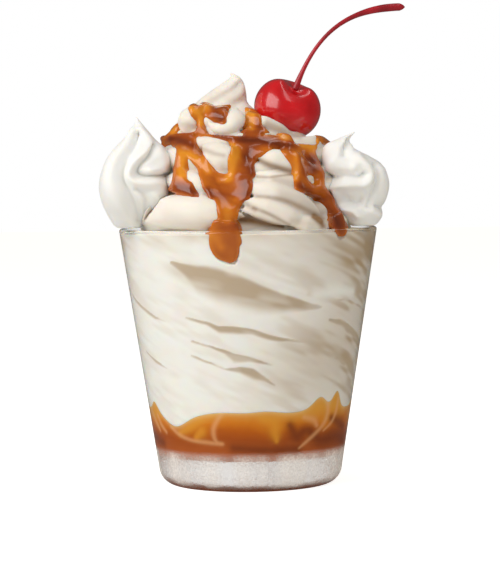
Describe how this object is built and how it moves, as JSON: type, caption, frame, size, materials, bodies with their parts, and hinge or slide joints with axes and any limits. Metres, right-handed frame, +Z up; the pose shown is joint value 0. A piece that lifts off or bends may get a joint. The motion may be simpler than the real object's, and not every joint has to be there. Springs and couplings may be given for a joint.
{
  "type": "ice cream sundae",
  "caption": "Soft-serve sundae with caramel in a clear tapered tumbler, with piped whipped cream and a stemmed cherry on top.",
  "frame": {"origin": "centre of the glass's foot, on the surface that it stands on", "axes": "+Z up along the glass's axis, +X to the right as seen from the front, +Y to the back"},
  "size_m": [0.1039, 0.0878, 0.1631],
  "materials": {
    "glass": "clear, polished, with light frost on the base",
    "soft_serve": "smooth, soft and a little moist",
    "caramel": "glossy, partly see-through amber to brown",
    "whipped_cream": "soft satin",
    "cherry": "glossy, syrup-coated",
    "cherry_stem": "satin"
  },
  "bodies": {
    "root": {"glass": "glass", "caramel_pool": "caramel", "soft_serve": "soft_serve", "whipped_cream_left": "whipped_cream", "whipped_cream_right": "whipped_cream", "cherry": "cherry", "cherry_stem": "cherry_stem"}
  },
  "joints": []
}
